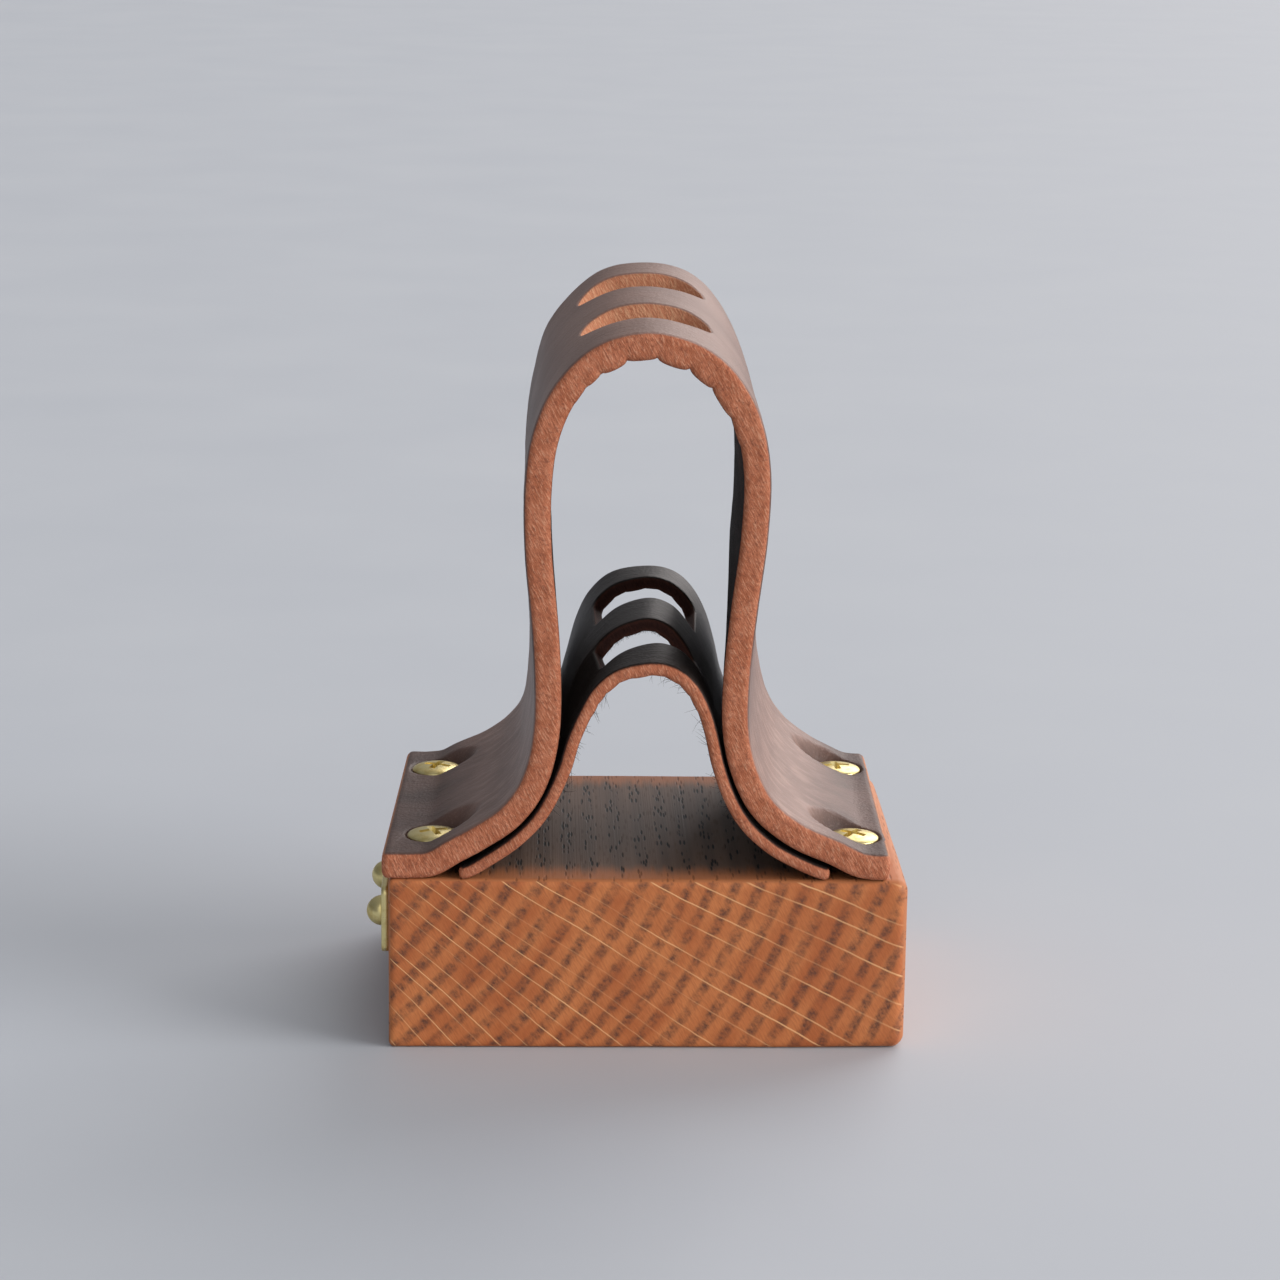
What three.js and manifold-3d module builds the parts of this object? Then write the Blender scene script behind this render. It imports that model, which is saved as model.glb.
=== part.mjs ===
// A desk stand for slim upright things: an oak block carries a thick leather arch, screwed down
// at both feet, and a thin leather arch pinched under it. Both crowns have two oblong slots, one
// above the other, and the lower ends of the things stand on the block.
//
// Millimetres, +Z up, the front faces -Y. The origin is the centre of the block's underside.

import * as THREE from 'three';
import { mergeVertices } from 'three/addons/utils/BufferGeometryUtils.js';
import Module from 'manifold-3d';

const wasm = await Module();
wasm.setup();

// ---------------------------------------------------------------------------------------------
// Driving dimensions
// ---------------------------------------------------------------------------------------------

const block = { width: 60, depth: 45, height: 20.4, round: 0.7 };

// An arch is a strip of leather bent between the centre line of its front edge and that of its
// back edge, given as [x, z] from the left end to the right end. The hair side is outside.
const outerArch = {
  thickness: 3.1,
  front: [
    [-30.8, 21.95], [-27.8, 21.95], [-25.1, 22.2], [-22.6, 23.65], [-19.5, 25.4], [-16.2, 27.75],
    [-13.7, 31.1], [-12.3, 35.5], [-11.8, 41], [-12.1, 49], [-13, 58.5], [-13.1, 66],
    [-12.3, 72], [-10.1, 77], [-6.2, 80.9], [-1.1, 82.4], [3.9, 81.3], [7.6, 78.6],
    [10.3, 74], [11.5, 68], [11.3, 60.5], [10.3, 52], [9.6, 44], [9.65, 38],
    [10.8, 33], [13.1, 28.8], [17, 25.7], [21.4, 23.7], [24.6, 22.2], [27.8, 21.95],
  ],
  back: [
    [-29.4, 21.95], [-26.8, 21.95], [-24.5, 22.25], [-22.2, 23.4], [-18.6, 25], [-15.5, 27.3],
    [-13.3, 30.5], [-12.6, 35.5], [-12.5, 41], [-12.9, 49], [-13.1, 58.5], [-13, 66],
    [-12.2, 72], [-10.4, 78], [-5.6, 83.1], [-0.7, 84.4], [4.3, 83.6], [7.8, 80.3],
    [10.6, 74.5], [12.6, 67], [12.9, 59], [12.5, 51], [12.8, 43.5], [13.2, 37],
    [14.6, 31.3], [17, 27.6], [20.3, 24.9], [23.2, 23.3], [25.8, 22.15], [28.6, 21.95],
  ],
  stations: 110,
  endSlant: 1,          // how much shorter the flesh side is at each end
  spans: 1,
  slot: { length: 14.2, width: 8.8, corner: 4.4, centres: [-9, 10.5] },   // centres along Y
};

// The slots weaken the thin crown, so halfway to the back it is bent more sharply. The middle line
// gives its shape there, and the strip is bowed evenly towards it in a number of spans.
const innerArch = {
  thickness: 1.5,
  front: [
    [-21.9, 21.16], [-20.8, 21.3], [-18.3, 22.8], [-15.5, 24.8], [-13.1, 27.2], [-11.4, 29.9],
    [-9.8, 33.6], [-8.9, 36.8], [-7.5, 40.2], [-6, 42.8], [-3.6, 44.7], [0, 45.45],
    [2.5, 44.9], [4.4, 43.4], [5.8, 41], [6.8, 38], [7.75, 34], [9.2, 30],
    [11.2, 26.8], [14.2, 24.1], [17.7, 22.2], [19.9, 21.3], [20.8, 21.16],
  ],
  back: [
    [-21.3, 21.16], [-20.1, 21.25], [-17.2, 22.6], [-14.2, 24.8], [-12.1, 27.3], [-10.8, 29.9],
    [-9.7, 32.8], [-8.6, 36.8], [-7.45, 41.1], [-5.9, 44.2], [-3.3, 46.4], [0.8, 47.05],
    [3.7, 46.5], [5.8, 44.7], [7.4, 41.8], [8.5, 38.2], [9.4, 34.4], [10.9, 30.9],
    [12.9, 27.7], [15.4, 25.2], [18.5, 22.9], [20.8, 21.35], [21.7, 21.16],
  ],
  middle: [
    [-21.6, 21.16], [-20.4, 21.28], [-17.7, 22.7], [-14.8, 24.8], [-12.6, 27.25], [-11.1, 29.9],
    [-9.7, 33.2], [-8.55, 36.9], [-6.95, 40.6], [-5.2, 43.2], [-2.8, 45.4], [0.4, 46.45],
    [2.7, 45.75], [4.3, 44], [5.8, 41.4], [7.15, 38.1], [8.35, 34.2], [9.9, 30.4],
    [11.9, 27.2], [14.7, 24.6], [18.1, 22.5], [20.4, 21.3], [21.3, 21.16],
  ],
  stations: 80,
  endSlant: 0.3,
  spans: 8,
  slot: { length: 13.8, width: 10.2, corner: 1.5, centres: [-9, 11] },
};

const screw = {
  places: {
    front_left: [-25, -14.3], front_right: [24, -14.6],
    back_left: [-25.4, 14.2], back_right: [24.4, 15],
  },
  rim: 23.3, headRadius: 3.1, domeHeight: 0.95, neckRadius: 1.3,
  threadRadius: 1.5, rootRadius: 1.1, pitch: 1.3, threads: 6, length: 12,
  recess: { span: 3, arm: 0.8, depth: 1.2 },
};
const pilot = { radius: 1.65, floor: 10.6 };
const countersink = { clearance: 0.2, shaftRadius: 1.75 };

const plate = { length: 22, height: 8, thickness: 1, corner: 1, y: -7, z: 14, holeRadius: 1 };
const pin = {
  y: [-14, 0], headRadius: 1.8, headHeight: 1.9, shankRadius: 0.8, shankLength: 3.8,
};
const pinHole = { radius: 1, depth: 3 };

// ---------------------------------------------------------------------------------------------
// Materials
// ---------------------------------------------------------------------------------------------

const oak = new THREE.MeshStandardMaterial({ color: '#a8683d', roughness: 0.62, metalness: 0 });
const leather = new THREE.MeshStandardMaterial({ color: '#4a3f3b', roughness: 0.5, metalness: 0 });
const brass = new THREE.MeshStandardMaterial({ color: '#c9a24e', roughness: 0.28, metalness: 1 });

// ---------------------------------------------------------------------------------------------
// Solids: geometry to manifold and back, and a loft through rings
// ---------------------------------------------------------------------------------------------

function toSolid(geometry) {
  const plain = geometry.clone();
  plain.deleteAttribute('normal');
  plain.deleteAttribute('uv');
  const merged = mergeVertices(plain, 1e-4);
  return new wasm.Manifold(new wasm.Mesh({
    numProp: 3,
    vertProperties: new Float32Array(merged.attributes.position.array),
    triVerts: new Uint32Array(merged.index.array),
  }));
}

function toGeometry(solid) {
  const mesh = solid.getMesh();
  const geometry = new THREE.BufferGeometry();
  geometry.setAttribute('position', new THREE.BufferAttribute(mesh.vertProperties, 3));
  geometry.setIndex(new THREE.BufferAttribute(mesh.triVerts, 1));
  return geometry;
}

// Joins rings of equal length, each convex and counter-clockwise as seen from the end of the
// loft, into one closed body.
function loft(rings) {
  const size = rings[0].length;
  const index = [];
  for (let r = 0; r + 1 < rings.length; r += 1) {
    for (let k = 0; k < size; k += 1) {
      const a = r * size + k;
      const b = r * size + (k + 1) % size;
      index.push(a, b, b + size, a, b + size, a + size);
    }
  }
  const last = (rings.length - 1) * size;
  for (let k = 1; k + 1 < size; k += 1) {
    index.push(0, k + 1, k, last, last + k, last + k + 1);
  }
  const geometry = new THREE.BufferGeometry();
  const corners = rings.flat().flatMap((p) => [p.x, p.y, p.z]);
  geometry.setAttribute('position', new THREE.BufferAttribute(new Float32Array(corners), 3));
  geometry.setIndex(index);
  return geometry;
}

function lathe(profile, segments) {
  const points = profile.map(([radius, z]) => new THREE.Vector2(radius, z));
  return new THREE.LatheGeometry(points, segments).rotateX(Math.PI / 2);
}

function roundedRectangle(width, height, radius) {
  const w = width / 2;
  const h = height / 2;
  const shape = new THREE.Shape();
  shape.moveTo(-w + radius, -h);
  shape.lineTo(w - radius, -h);
  shape.absarc(w - radius, -h + radius, radius, -Math.PI / 2, 0);
  shape.lineTo(w, h - radius);
  shape.absarc(w - radius, h - radius, radius, 0, Math.PI / 2);
  shape.lineTo(-w + radius, h);
  shape.absarc(-w + radius, h - radius, radius, Math.PI / 2, Math.PI);
  shape.lineTo(-w, -h + radius);
  shape.absarc(-w + radius, -h + radius, radius, Math.PI, 1.5 * Math.PI);
  return shape;
}

// ---------------------------------------------------------------------------------------------
// Bent leather
// ---------------------------------------------------------------------------------------------

function smoothLine(points) {
  const curve = new THREE.SplineCurve(points.map(([x, z]) => new THREE.Vector2(x, z)));
  curve.arcLengthDivisions = 2000;
  return curve;
}

for (const arch of [outerArch, innerArch]) {
  arch.frontCurve = smoothLine(arch.front);
  arch.backCurve = smoothLine(arch.back);
  arch.middleCurve = arch.middle && smoothLine(arch.middle);
  arch.length = arch.frontCurve.getLength();
}

// A point beside a centre line, h towards the hair side. The feet lie flat on the block.
function beside(curve, s, h) {
  const at = curve.getPointAt(s);
  const along = curve.getTangentAt(s);
  return new THREE.Vector2(at.x - along.y * h, Math.max(at.y + along.x * h, block.height));
}

// A point of a bent strip: s runs along it from 0 to 1, y across it and h through it.
function bend(arch, s, y, h) {
  const share = y / block.depth + 0.5;
  const front = beside(arch.frontCurve, s, h);
  const back = beside(arch.backCurve, s, h);
  const at = front.clone().lerp(back, share);
  if (arch.middleCurve) {
    const bow = beside(arch.middleCurve, s, h).sub(front.lerp(back, 0.5));
    at.addScaledVector(bow, 4 * share * (1 - share));
  }
  return new THREE.Vector3(at.x, y, Math.max(at.y, block.height));
}

function bentStrip(arch) {
  const half = block.depth / 2;
  const up = arch.thickness / 2;
  const slant = arch.endSlant / arch.length;
  const lines = Array.from({ length: arch.spans + 1 }, (_, k) => half - (2 * half * k) / arch.spans);
  const rings = [];
  for (let i = 0; i <= arch.stations; i += 1) {
    const s = i / arch.stations;
    const flesh = THREE.MathUtils.clamp(s, slant, 1 - slant);
    const hairSide = lines.map((y) => bend(arch, s, y, up));
    const fleshSide = lines.map((y) => bend(arch, flesh, y, -up)).reverse();
    rings.push([...hairSide, ...fleshSide]);
  }
  return toSolid(loft(rings));
}

// The share of its length at which the arch's front edge is highest.
function crownOf(arch) {
  let best = 0.5;
  for (let s = 0.3; s < 0.7; s += 0.001) {
    if (arch.frontCurve.getPointAt(s).y > arch.frontCurve.getPointAt(best).y) best = s;
  }
  return best;
}

// A punch for one oblong slot with rounded corners, bent like the strip, so that its walls stand
// square to the leather all along the crown.
function slotPunch(arch, centreY) {
  const { length, width, corner } = arch.slot;
  const straight = length / 2 - corner;
  const wall = width / 2 - corner;
  const reach = arch.thickness / 2 + 0.8;
  const steps = 12;
  const middle = crownOf(arch);
  const rings = [];
  const addRing = (offset, half) => {
    const s = middle + offset / arch.length;
    rings.push([
      bend(arch, s, centreY + half, -reach),
      bend(arch, s, centreY + half, reach),
      bend(arch, s, centreY - half, reach),
      bend(arch, s, centreY - half, -reach),
    ]);
  };
  for (let k = 0; k <= steps; k += 1) {
    const turn = (Math.PI / 2) * (0.06 + 0.94 * (k / steps));
    addRing(-straight - corner * Math.cos(turn), wall + corner * Math.sin(turn));
  }
  for (let k = 1; k < steps; k += 1) {
    addRing(-straight + 2 * straight * (k / steps), wall + corner);
  }
  for (let k = steps; k >= 0; k -= 1) {
    const turn = (Math.PI / 2) * (0.06 + 0.94 * (k / steps));
    addRing(straight + corner * Math.cos(turn), wall + corner * Math.sin(turn));
  }
  return toSolid(loft(rings));
}

function slottedStrip(arch) {
  let solid = bentStrip(arch);
  for (const centreY of arch.slot.centres) {
    solid = solid.subtract(slotPunch(arch, centreY));
  }
  return solid;
}

// The hole for one screw: a through hole, a cone for the head and a straight wall above it,
// where the leather already rises.
function countersinkCutter(x, y) {
  const wide = screw.headRadius + countersink.clearance;
  const coneFoot = screw.rim - (screw.headRadius - countersink.shaftRadius);
  const geometry = lathe([
    [0, block.height - 1],
    [countersink.shaftRadius, block.height - 1],
    [countersink.shaftRadius, coneFoot - countersink.clearance],
    [wide, screw.rim - countersink.clearance],
    [wide, screw.rim + 7],
    [0, screw.rim + 7],
  ], 32);
  return toSolid(geometry.translate(x, y, 0));
}

// ---------------------------------------------------------------------------------------------
// The pieces
// ---------------------------------------------------------------------------------------------

function oakBlock() {
  const { width, depth, height, round } = block;
  const outline = roundedRectangle(width - 2 * round, height - 2 * round, 0.01);
  const body = new THREE.ExtrudeGeometry(outline, {
    depth: depth - 2 * round, bevelThickness: round, bevelSize: round, bevelSegments: 3,
    curveSegments: 1,
  });
  body.rotateX(Math.PI / 2);
  body.translate(0, depth / 2 - round, height / 2);
  let solid = toSolid(body);
  for (const [x, y] of Object.values(screw.places)) {
    const hole = lathe([
      [0, pilot.floor - pilot.radius], [pilot.radius, pilot.floor],
      [pilot.radius, height + 1], [0, height + 1],
    ], 24);
    solid = solid.subtract(toSolid(hole.translate(x, y, 0)));
  }
  for (const y of pin.y) {
    const hole = lathe([
      [0, -pinHole.depth], [pinHole.radius, -pinHole.depth], [pinHole.radius, 1], [0, 1],
    ], 20);
    hole.rotateY(-Math.PI / 2);
    solid = solid.subtract(toSolid(hole.translate(-width / 2, y, plate.z)));
  }
  return toGeometry(solid);
}

function outerArchLeather() {
  let solid = slottedStrip(outerArch);
  for (const [x, y] of Object.values(screw.places)) {
    solid = solid.subtract(countersinkCutter(x, y));
  }
  return toGeometry(solid);
}

function innerArchLeather() {
  return toGeometry(slottedStrip(innerArch));
}

// A brass wood screw with a raised countersunk head, standing on its tip's axis at the origin,
// the rim of its head at z = 0.
function woodScrew() {
  const { headRadius, domeHeight, neckRadius, threadRadius, rootRadius, pitch } = screw;
  const neck = -(headRadius - neckRadius);
  const profile = [[0, -screw.length]];
  for (let k = screw.threads; k > 0; k -= 1) {
    const top = neck - 1.2 - pitch * (k - 1);
    const taper = k === screw.threads ? 0.6 : 1;
    profile.push([rootRadius * taper, top - pitch]);
    profile.push([threadRadius * taper, top - pitch * 0.55]);
    profile.push([rootRadius, top - pitch * 0.35]);
  }
  profile.push([neckRadius, neck - 1]);
  profile.push([neckRadius, neck]);
  profile.push([headRadius, 0]);
  const domeSteps = 5;
  for (let k = 1; k < domeSteps; k += 1) {
    const turn = (Math.PI / 2) * (k / domeSteps);
    profile.push([headRadius * Math.cos(turn), domeHeight * Math.sin(turn)]);
  }
  profile.push([0, domeHeight]);
  let solid = toSolid(lathe(profile, 24));
  const { span, arm, depth } = screw.recess;
  for (const [across, along] of [[span, arm], [arm, span]]) {
    const bit = new THREE.BoxGeometry(across, along, 2 * depth);
    solid = solid.subtract(toSolid(bit.translate(0, 0, domeHeight)));
  }
  return toGeometry(solid);
}

function labelPlate() {
  const { length, height, thickness, corner, holeRadius } = plate;
  const outline = roundedRectangle(length, height, corner);
  for (const y of pin.y) {
    const hole = new THREE.Path();
    hole.absarc(y - plate.y, 0, holeRadius, 0, 2 * Math.PI, true);
    outline.holes.push(hole);
  }
  const geometry = new THREE.ExtrudeGeometry(outline, {
    depth: thickness, bevelEnabled: false, curveSegments: 8,
  });
  geometry.rotateX(Math.PI / 2);
  geometry.rotateZ(Math.PI / 2);
  return toGeometry(toSolid(geometry.translate(-thickness, 0, 0)));
}

// A round-head pin along +X into the block, the underside of its head at x = 0.
function roundHeadPin() {
  const profile = [[0, -pin.shankLength], [pin.shankRadius, -pin.shankLength + 0.8]];
  profile.push([pin.shankRadius, 0], [pin.headRadius, 0]);
  const domeSteps = 6;
  for (let k = 1; k < domeSteps; k += 1) {
    const turn = (Math.PI / 2) * (k / domeSteps);
    profile.push([pin.headRadius * Math.cos(turn), pin.headHeight * Math.sin(turn)]);
  }
  profile.push([0, pin.headHeight]);
  return toGeometry(toSolid(lathe(profile, 24).rotateY(-Math.PI / 2)));
}

// ---------------------------------------------------------------------------------------------
// Assembly
// ---------------------------------------------------------------------------------------------

const stand = new THREE.Group();

function addPiece(name, geometry, material, x = 0, y = 0, z = 0) {
  const mesh = new THREE.Mesh(geometry, material);
  mesh.name = name;
  mesh.position.set(x, y, z);
  stand.add(mesh);
}

addPiece('oak_block', oakBlock(), oak);
addPiece('outer_arch', outerArchLeather(), leather);
addPiece('inner_arch', innerArchLeather(), leather);

const screwGeometry = woodScrew();
for (const [place, [x, y]] of Object.entries(screw.places)) {
  addPiece(`screw_${place}`, screwGeometry, brass, x, y, screw.rim);
}

addPiece('label_plate', labelPlate(), brass, -block.width / 2, plate.y, plate.z);
const pinGeometry = roundHeadPin();
const underHead = -block.width / 2 - plate.thickness;
for (const [row, y] of pin.y.entries()) {
  addPiece(`plate_pin_${['front', 'back'][row]}`, pinGeometry, brass, underHead, y, plate.z);
}

export default stand;
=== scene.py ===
# %% [markdown]
# # A desk stand of oak, leather and brass
#
# The stand is an oak block with two leather arches on it. The thick outer arch is screwed down at
# both feet, the thin inner arch is pinched under it, and both crowns have two oblong slots. A
# small brass plate is pinned to the block's left face. This lesson builds each piece the way a
# maker would and gives it a procedural finish.
#
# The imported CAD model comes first. It fixes every size, and each piece below stands for one of
# its nodes.

# %% Load the frame
import math

import bmesh
import bpy
import numpy as np
from mathutils import Matrix, Vector


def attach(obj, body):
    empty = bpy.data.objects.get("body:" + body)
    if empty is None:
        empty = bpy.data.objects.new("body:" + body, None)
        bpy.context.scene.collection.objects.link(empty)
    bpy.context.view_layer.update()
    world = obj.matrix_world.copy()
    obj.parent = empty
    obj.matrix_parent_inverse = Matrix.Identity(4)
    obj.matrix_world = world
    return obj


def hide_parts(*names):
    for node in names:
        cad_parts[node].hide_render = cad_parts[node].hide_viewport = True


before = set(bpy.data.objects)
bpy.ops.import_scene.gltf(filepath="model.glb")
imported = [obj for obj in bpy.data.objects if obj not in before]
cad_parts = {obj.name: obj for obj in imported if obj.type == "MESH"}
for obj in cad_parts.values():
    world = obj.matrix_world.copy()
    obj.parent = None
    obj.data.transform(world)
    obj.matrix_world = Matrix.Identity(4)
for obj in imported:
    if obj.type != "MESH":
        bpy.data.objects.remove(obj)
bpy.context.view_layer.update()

MM = 0.001

# %% [markdown]
# ## From points to pieces
#
# Every piece is made in millimetres from lists of points and faces, and becomes a Blender object
# in metres. It rides on the root body and says which CAD node it stands for and which material
# it takes.

# %% Meshes and pieces
WELD = 1e-5                # points closer than this are one point


def make_mesh(name, points, faces):
    """A mesh whose faces share their points and all face outwards."""
    mesh = bpy.data.meshes.new(name)
    mesh.from_pydata(np.asarray(points, float).tolist(), [], [list(f) for f in faces])
    work = bmesh.new()
    work.from_mesh(mesh)
    bmesh.ops.remove_doubles(work, verts=work.verts, dist=WELD)
    bmesh.ops.recalc_face_normals(work, faces=work.faces)
    work.to_mesh(mesh)
    work.free()
    return mesh


def points_of(mesh):
    """All the points of a mesh, as rows of x, y and z."""
    flat = np.empty(len(mesh.vertices) * 3)
    mesh.vertices.foreach_get("co", flat)
    return flat.reshape(-1, 3)


def move_points(mesh, points):
    mesh.vertices.foreach_set("co", np.asarray(points).ravel())
    mesh.update()


def make_piece(mesh, node, finish):
    """Shows a mesh, made in millimetres, in place of a CAD node."""
    move_points(mesh, points_of(mesh) * MM)
    mesh.polygons.foreach_set("use_smooth", [True] * len(mesh.polygons))
    mesh.polygons.foreach_set("material_index", [0] * len(mesh.polygons))
    mesh.materials.clear()
    mesh.materials.append(finish)
    piece = bpy.data.objects.new(mesh.name, mesh)
    bpy.context.scene.collection.objects.link(piece)
    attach(piece, "root")
    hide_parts(node)
    print(f"{piece.name}: {len(mesh.polygons)} faces, stands for {node}")
    return piece

# %% [markdown]
# ## Cutting, skins and turned shapes
#
# A hole, slot or recess is cut with a tool's shape, as in a workshop. Blender's manifold solver is
# used because it is quick on closed meshes and leaves closed meshes. Long shapes are skins drawn
# through rings of points, and so are turned shapes, whose rings are circles about an axis.

# %% Cutting
def cut(mesh, *tools):
    """Cuts the tools' shapes out of a mesh."""
    blank = bpy.data.objects.new("blank", mesh)
    bpy.context.scene.collection.objects.link(blank)
    for tool in tools:
        cutter = bpy.data.objects.new("cutter", tool)
        bpy.context.scene.collection.objects.link(cutter)
        step = blank.modifiers.new("cut", "BOOLEAN")
        step.operation = "DIFFERENCE"
        step.solver = "MANIFOLD"
        step.object = cutter
    graph = bpy.context.evaluated_depsgraph_get()
    result = bpy.data.meshes.new_from_object(blank.evaluated_get(graph))
    for step in list(blank.modifiers):
        bpy.data.objects.remove(step.object)
    bpy.data.objects.remove(blank)
    result.name = mesh.name
    return result

# %% Skins and turned shapes
def loft(rings):
    """Points and faces of a skin through rings of equal length, closed at both ends."""
    size = len(rings[0])
    points = [p for ring in rings for p in ring]
    faces = []
    for r in range(len(rings) - 1):
        for k in range(size):
            a, b = r * size + k, r * size + (k + 1) % size
            faces.append((a, b, b + size, a + size))
    faces.append(tuple(range(size))[::-1])
    faces.append(tuple(range(len(points) - size, len(points))))
    return points, faces


def turn_on_lathe(name, profile, segments=64):
    """A turned shape about Z through [radius, z] points, from the bottom to the top."""
    angles = [2 * math.pi * k / segments for k in range(segments)]
    rings = [[(r * math.cos(a), r * math.sin(a), z) for a in angles] for r, z in profile]
    return make_mesh(name, *loft(rings))

# %% [markdown]
# ## Small irregularities
#
# Handmade edges wander. A few sine waves of different lengths, each a little stretched at random,
# weaker as they get shorter and with random starts from a fixed seed, give a smooth line that
# looks irregular and comes out the same every time.
# Where a shape changes from one place to another, a soft step keeps a hard line from showing.

# %% Ripples and soft steps
def ripple(t, seed):
    """A smooth wandering line between about -1 and 1, the same on every run."""
    random = np.random.default_rng(seed)
    total = np.zeros_like(np.asarray(t, float))
    for k in range(6):
        total += np.sin(t * (0.5 + k) * random.uniform(0.7, 1.3) + random.uniform(0, 6.3)) / (1 + k)
    return total / 1.6


def smoothstep(t):
    """0 below 0, 1 above 1, and a soft rise between them."""
    t = np.clip(t, 0, 1)
    return t * t * (3 - 2 * t)

# %% [markdown]
# ## A small language for finishes
#
# Shader graphs get long, so numbers that vary over a surface are wrapped in a class that knows
# arithmetic. Writing `1 - mask * 0.4` then adds the Math nodes. Anything else comes from one
# method, `add`, which takes a node's type, its settings and what goes into its sockets.

# %% Amounts
class Amount:
    """A number that varies over a surface."""

    def __init__(self, finish, socket):
        self.finish = finish
        self.socket = socket

    def math(self, operation, *others):
        return self.finish.add("ShaderNodeMath", {"operation": operation}, [self, *others])

    def __add__(self, other):
        return self.math("ADD", other)

    def __mul__(self, other):
        return self.math("MULTIPLY", other)

    def __sub__(self, other):
        return self.math("SUBTRACT", other)

    def __truediv__(self, other):
        return self.math("DIVIDE", other)

    def __rsub__(self, other):
        return self.finish.add("ShaderNodeMath", {"operation": "SUBTRACT"}, [other, self])

    __radd__ = __add__
    __rmul__ = __mul__

    def step(self, low, high):
        """0 below low, 1 above high, and a soft rise between them."""
        settings = {"interpolation_type": "SMOOTHSTEP"}
        return self.finish.add("ShaderNodeMapRange", settings, {0: self, 1: low, 2: high})

# %% Finishes
def colour(*screen):
    """A colour given as on a screen, red, green and blue from 0 to 255, turned into light."""
    light = [((c / 255 + 0.055) / 1.055) ** 2.4 if c > 10 else c / 3294.6 for c in screen]
    return (*light, 1.0)


class Finish:
    """A material made of nodes."""

    def __init__(self, name):
        self.material = bpy.data.materials.new(name)
        self.material.use_nodes = True
        self.nodes = self.material.node_tree.nodes
        self.links = self.material.node_tree.links
        self.nodes.clear()

    def add(self, kind, settings=None, inputs=(), output=0):
        """Adds a node with its settings, and values or links for its sockets. Gives an output."""
        node = self.nodes.new(kind)
        for key, value in (settings or {}).items():
            setattr(node, key, value)
        for key, value in (inputs.items() if isinstance(inputs, dict) else enumerate(inputs)):
            if isinstance(value, Amount):
                value = value.socket
            if isinstance(value, bpy.types.NodeSocket):
                self.links.new(value, node.inputs[key])
            else:
                node.inputs[key].default_value = value
        result = node.outputs[output]
        return Amount(self, result) if result.type == "VALUE" else result

    def split(self, vector):
        node = self.nodes.new("ShaderNodeSeparateXYZ")
        self.links.new(vector, node.inputs[0])
        return [Amount(self, out) for out in node.outputs]

    def join(self, x, y, z):
        return self.add("ShaderNodeCombineXYZ", None, [x, y, z])

    def place(self):
        """Where the point is on the stand, in millimetres."""
        spot = self.add("ShaderNodeTexCoord", None, (), "Object")
        return self.add("ShaderNodeVectorMath", {"operation": "SCALE"}, {0: spot, "Scale": 1 / MM})

    def facing(self):
        """The x, y and z of the direction that the surface faces."""
        return self.split(self.add("ShaderNodeNewGeometry", None, (), "Normal"))

    def noise(self, vector, scale=1.0, detail=2.0, rough=0.5):
        inputs = {"Vector": vector, "Scale": scale, "Detail": detail, "Roughness": rough}
        return self.add("ShaderNodeTexNoise", None, inputs)

    def cells(self, vector, scale=1.0):
        inputs = {"Vector": vector, "Scale": scale}
        return self.add("ShaderNodeTexVoronoi", {"feature": "F1"}, inputs, "Distance")

    def mix(self, share, one, other):
        """One colour where share is 0, the other where it is 1."""
        return self.add("ShaderNodeMix", {"data_type": "RGBA"}, {0: share, 6: one, 7: other}, 2)

    def scratches(self, x, z, angle, along, across, through=0.0):
        """Noise drawn out into strokes in a plane, at an angle in degrees to its first axis."""
        c, s = math.cos(math.radians(angle)), math.sin(math.radians(angle))
        lengthways, sideways = x * c + z * s, z * c - x * s
        return self.noise(self.join(lengthways * along, sideways * across, through), 1.0, 3.0)

    def bump(self, height, depth):
        """A Bump node for a height of 0 to 1 that stands for a depth in millimetres."""
        return self.add("ShaderNodeBump", None, {"Height": height, "Distance": depth * MM})

    def surface(self, base, roughness, normal, **plain):
        """The finished material. Plain values are set on the shader's own sockets."""
        inputs = {"Base Color": base, "Roughness": roughness, "Normal": normal}
        inputs |= {key.replace("_", " "): value for key, value in plain.items()}
        shader = self.add("ShaderNodeBsdfPrincipled", None, inputs)
        self.links.new(shader, self.nodes.new("ShaderNodeOutputMaterial").inputs[0])
        return self.material

# %% [markdown]
# ## Oak
#
# Oak is ring-porous: each year starts with a band of wide pores, which show as dark broken dashes
# on the sawn end, and thin pale rays run out from the heart of the tree. A flat image could not
# wrap round the block's edges, so the finish is worked out in space instead. The distance from
# the heart gives the year rings and the angle about it gives the rays, and both go straight
# through the block along its length, as in a real board.

# %% Oak finish
BLOCK = (60.0, 45.0, 20.4)  # width, depth and height of the block
DEPTH = BLOCK[1]
HALF_DEPTH = DEPTH / 2
HEART = (-77.0, 58.4)      # x and z of the middle of the tree
YEAR = 2.55                # width of one year's ring
RAY_RADIUS = 95.0          # where the rays are spaced as they look on the end
RAY_SPACING = 2.5
RING_WAVE = 3.0            # how far the rings wander from true circles


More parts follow.
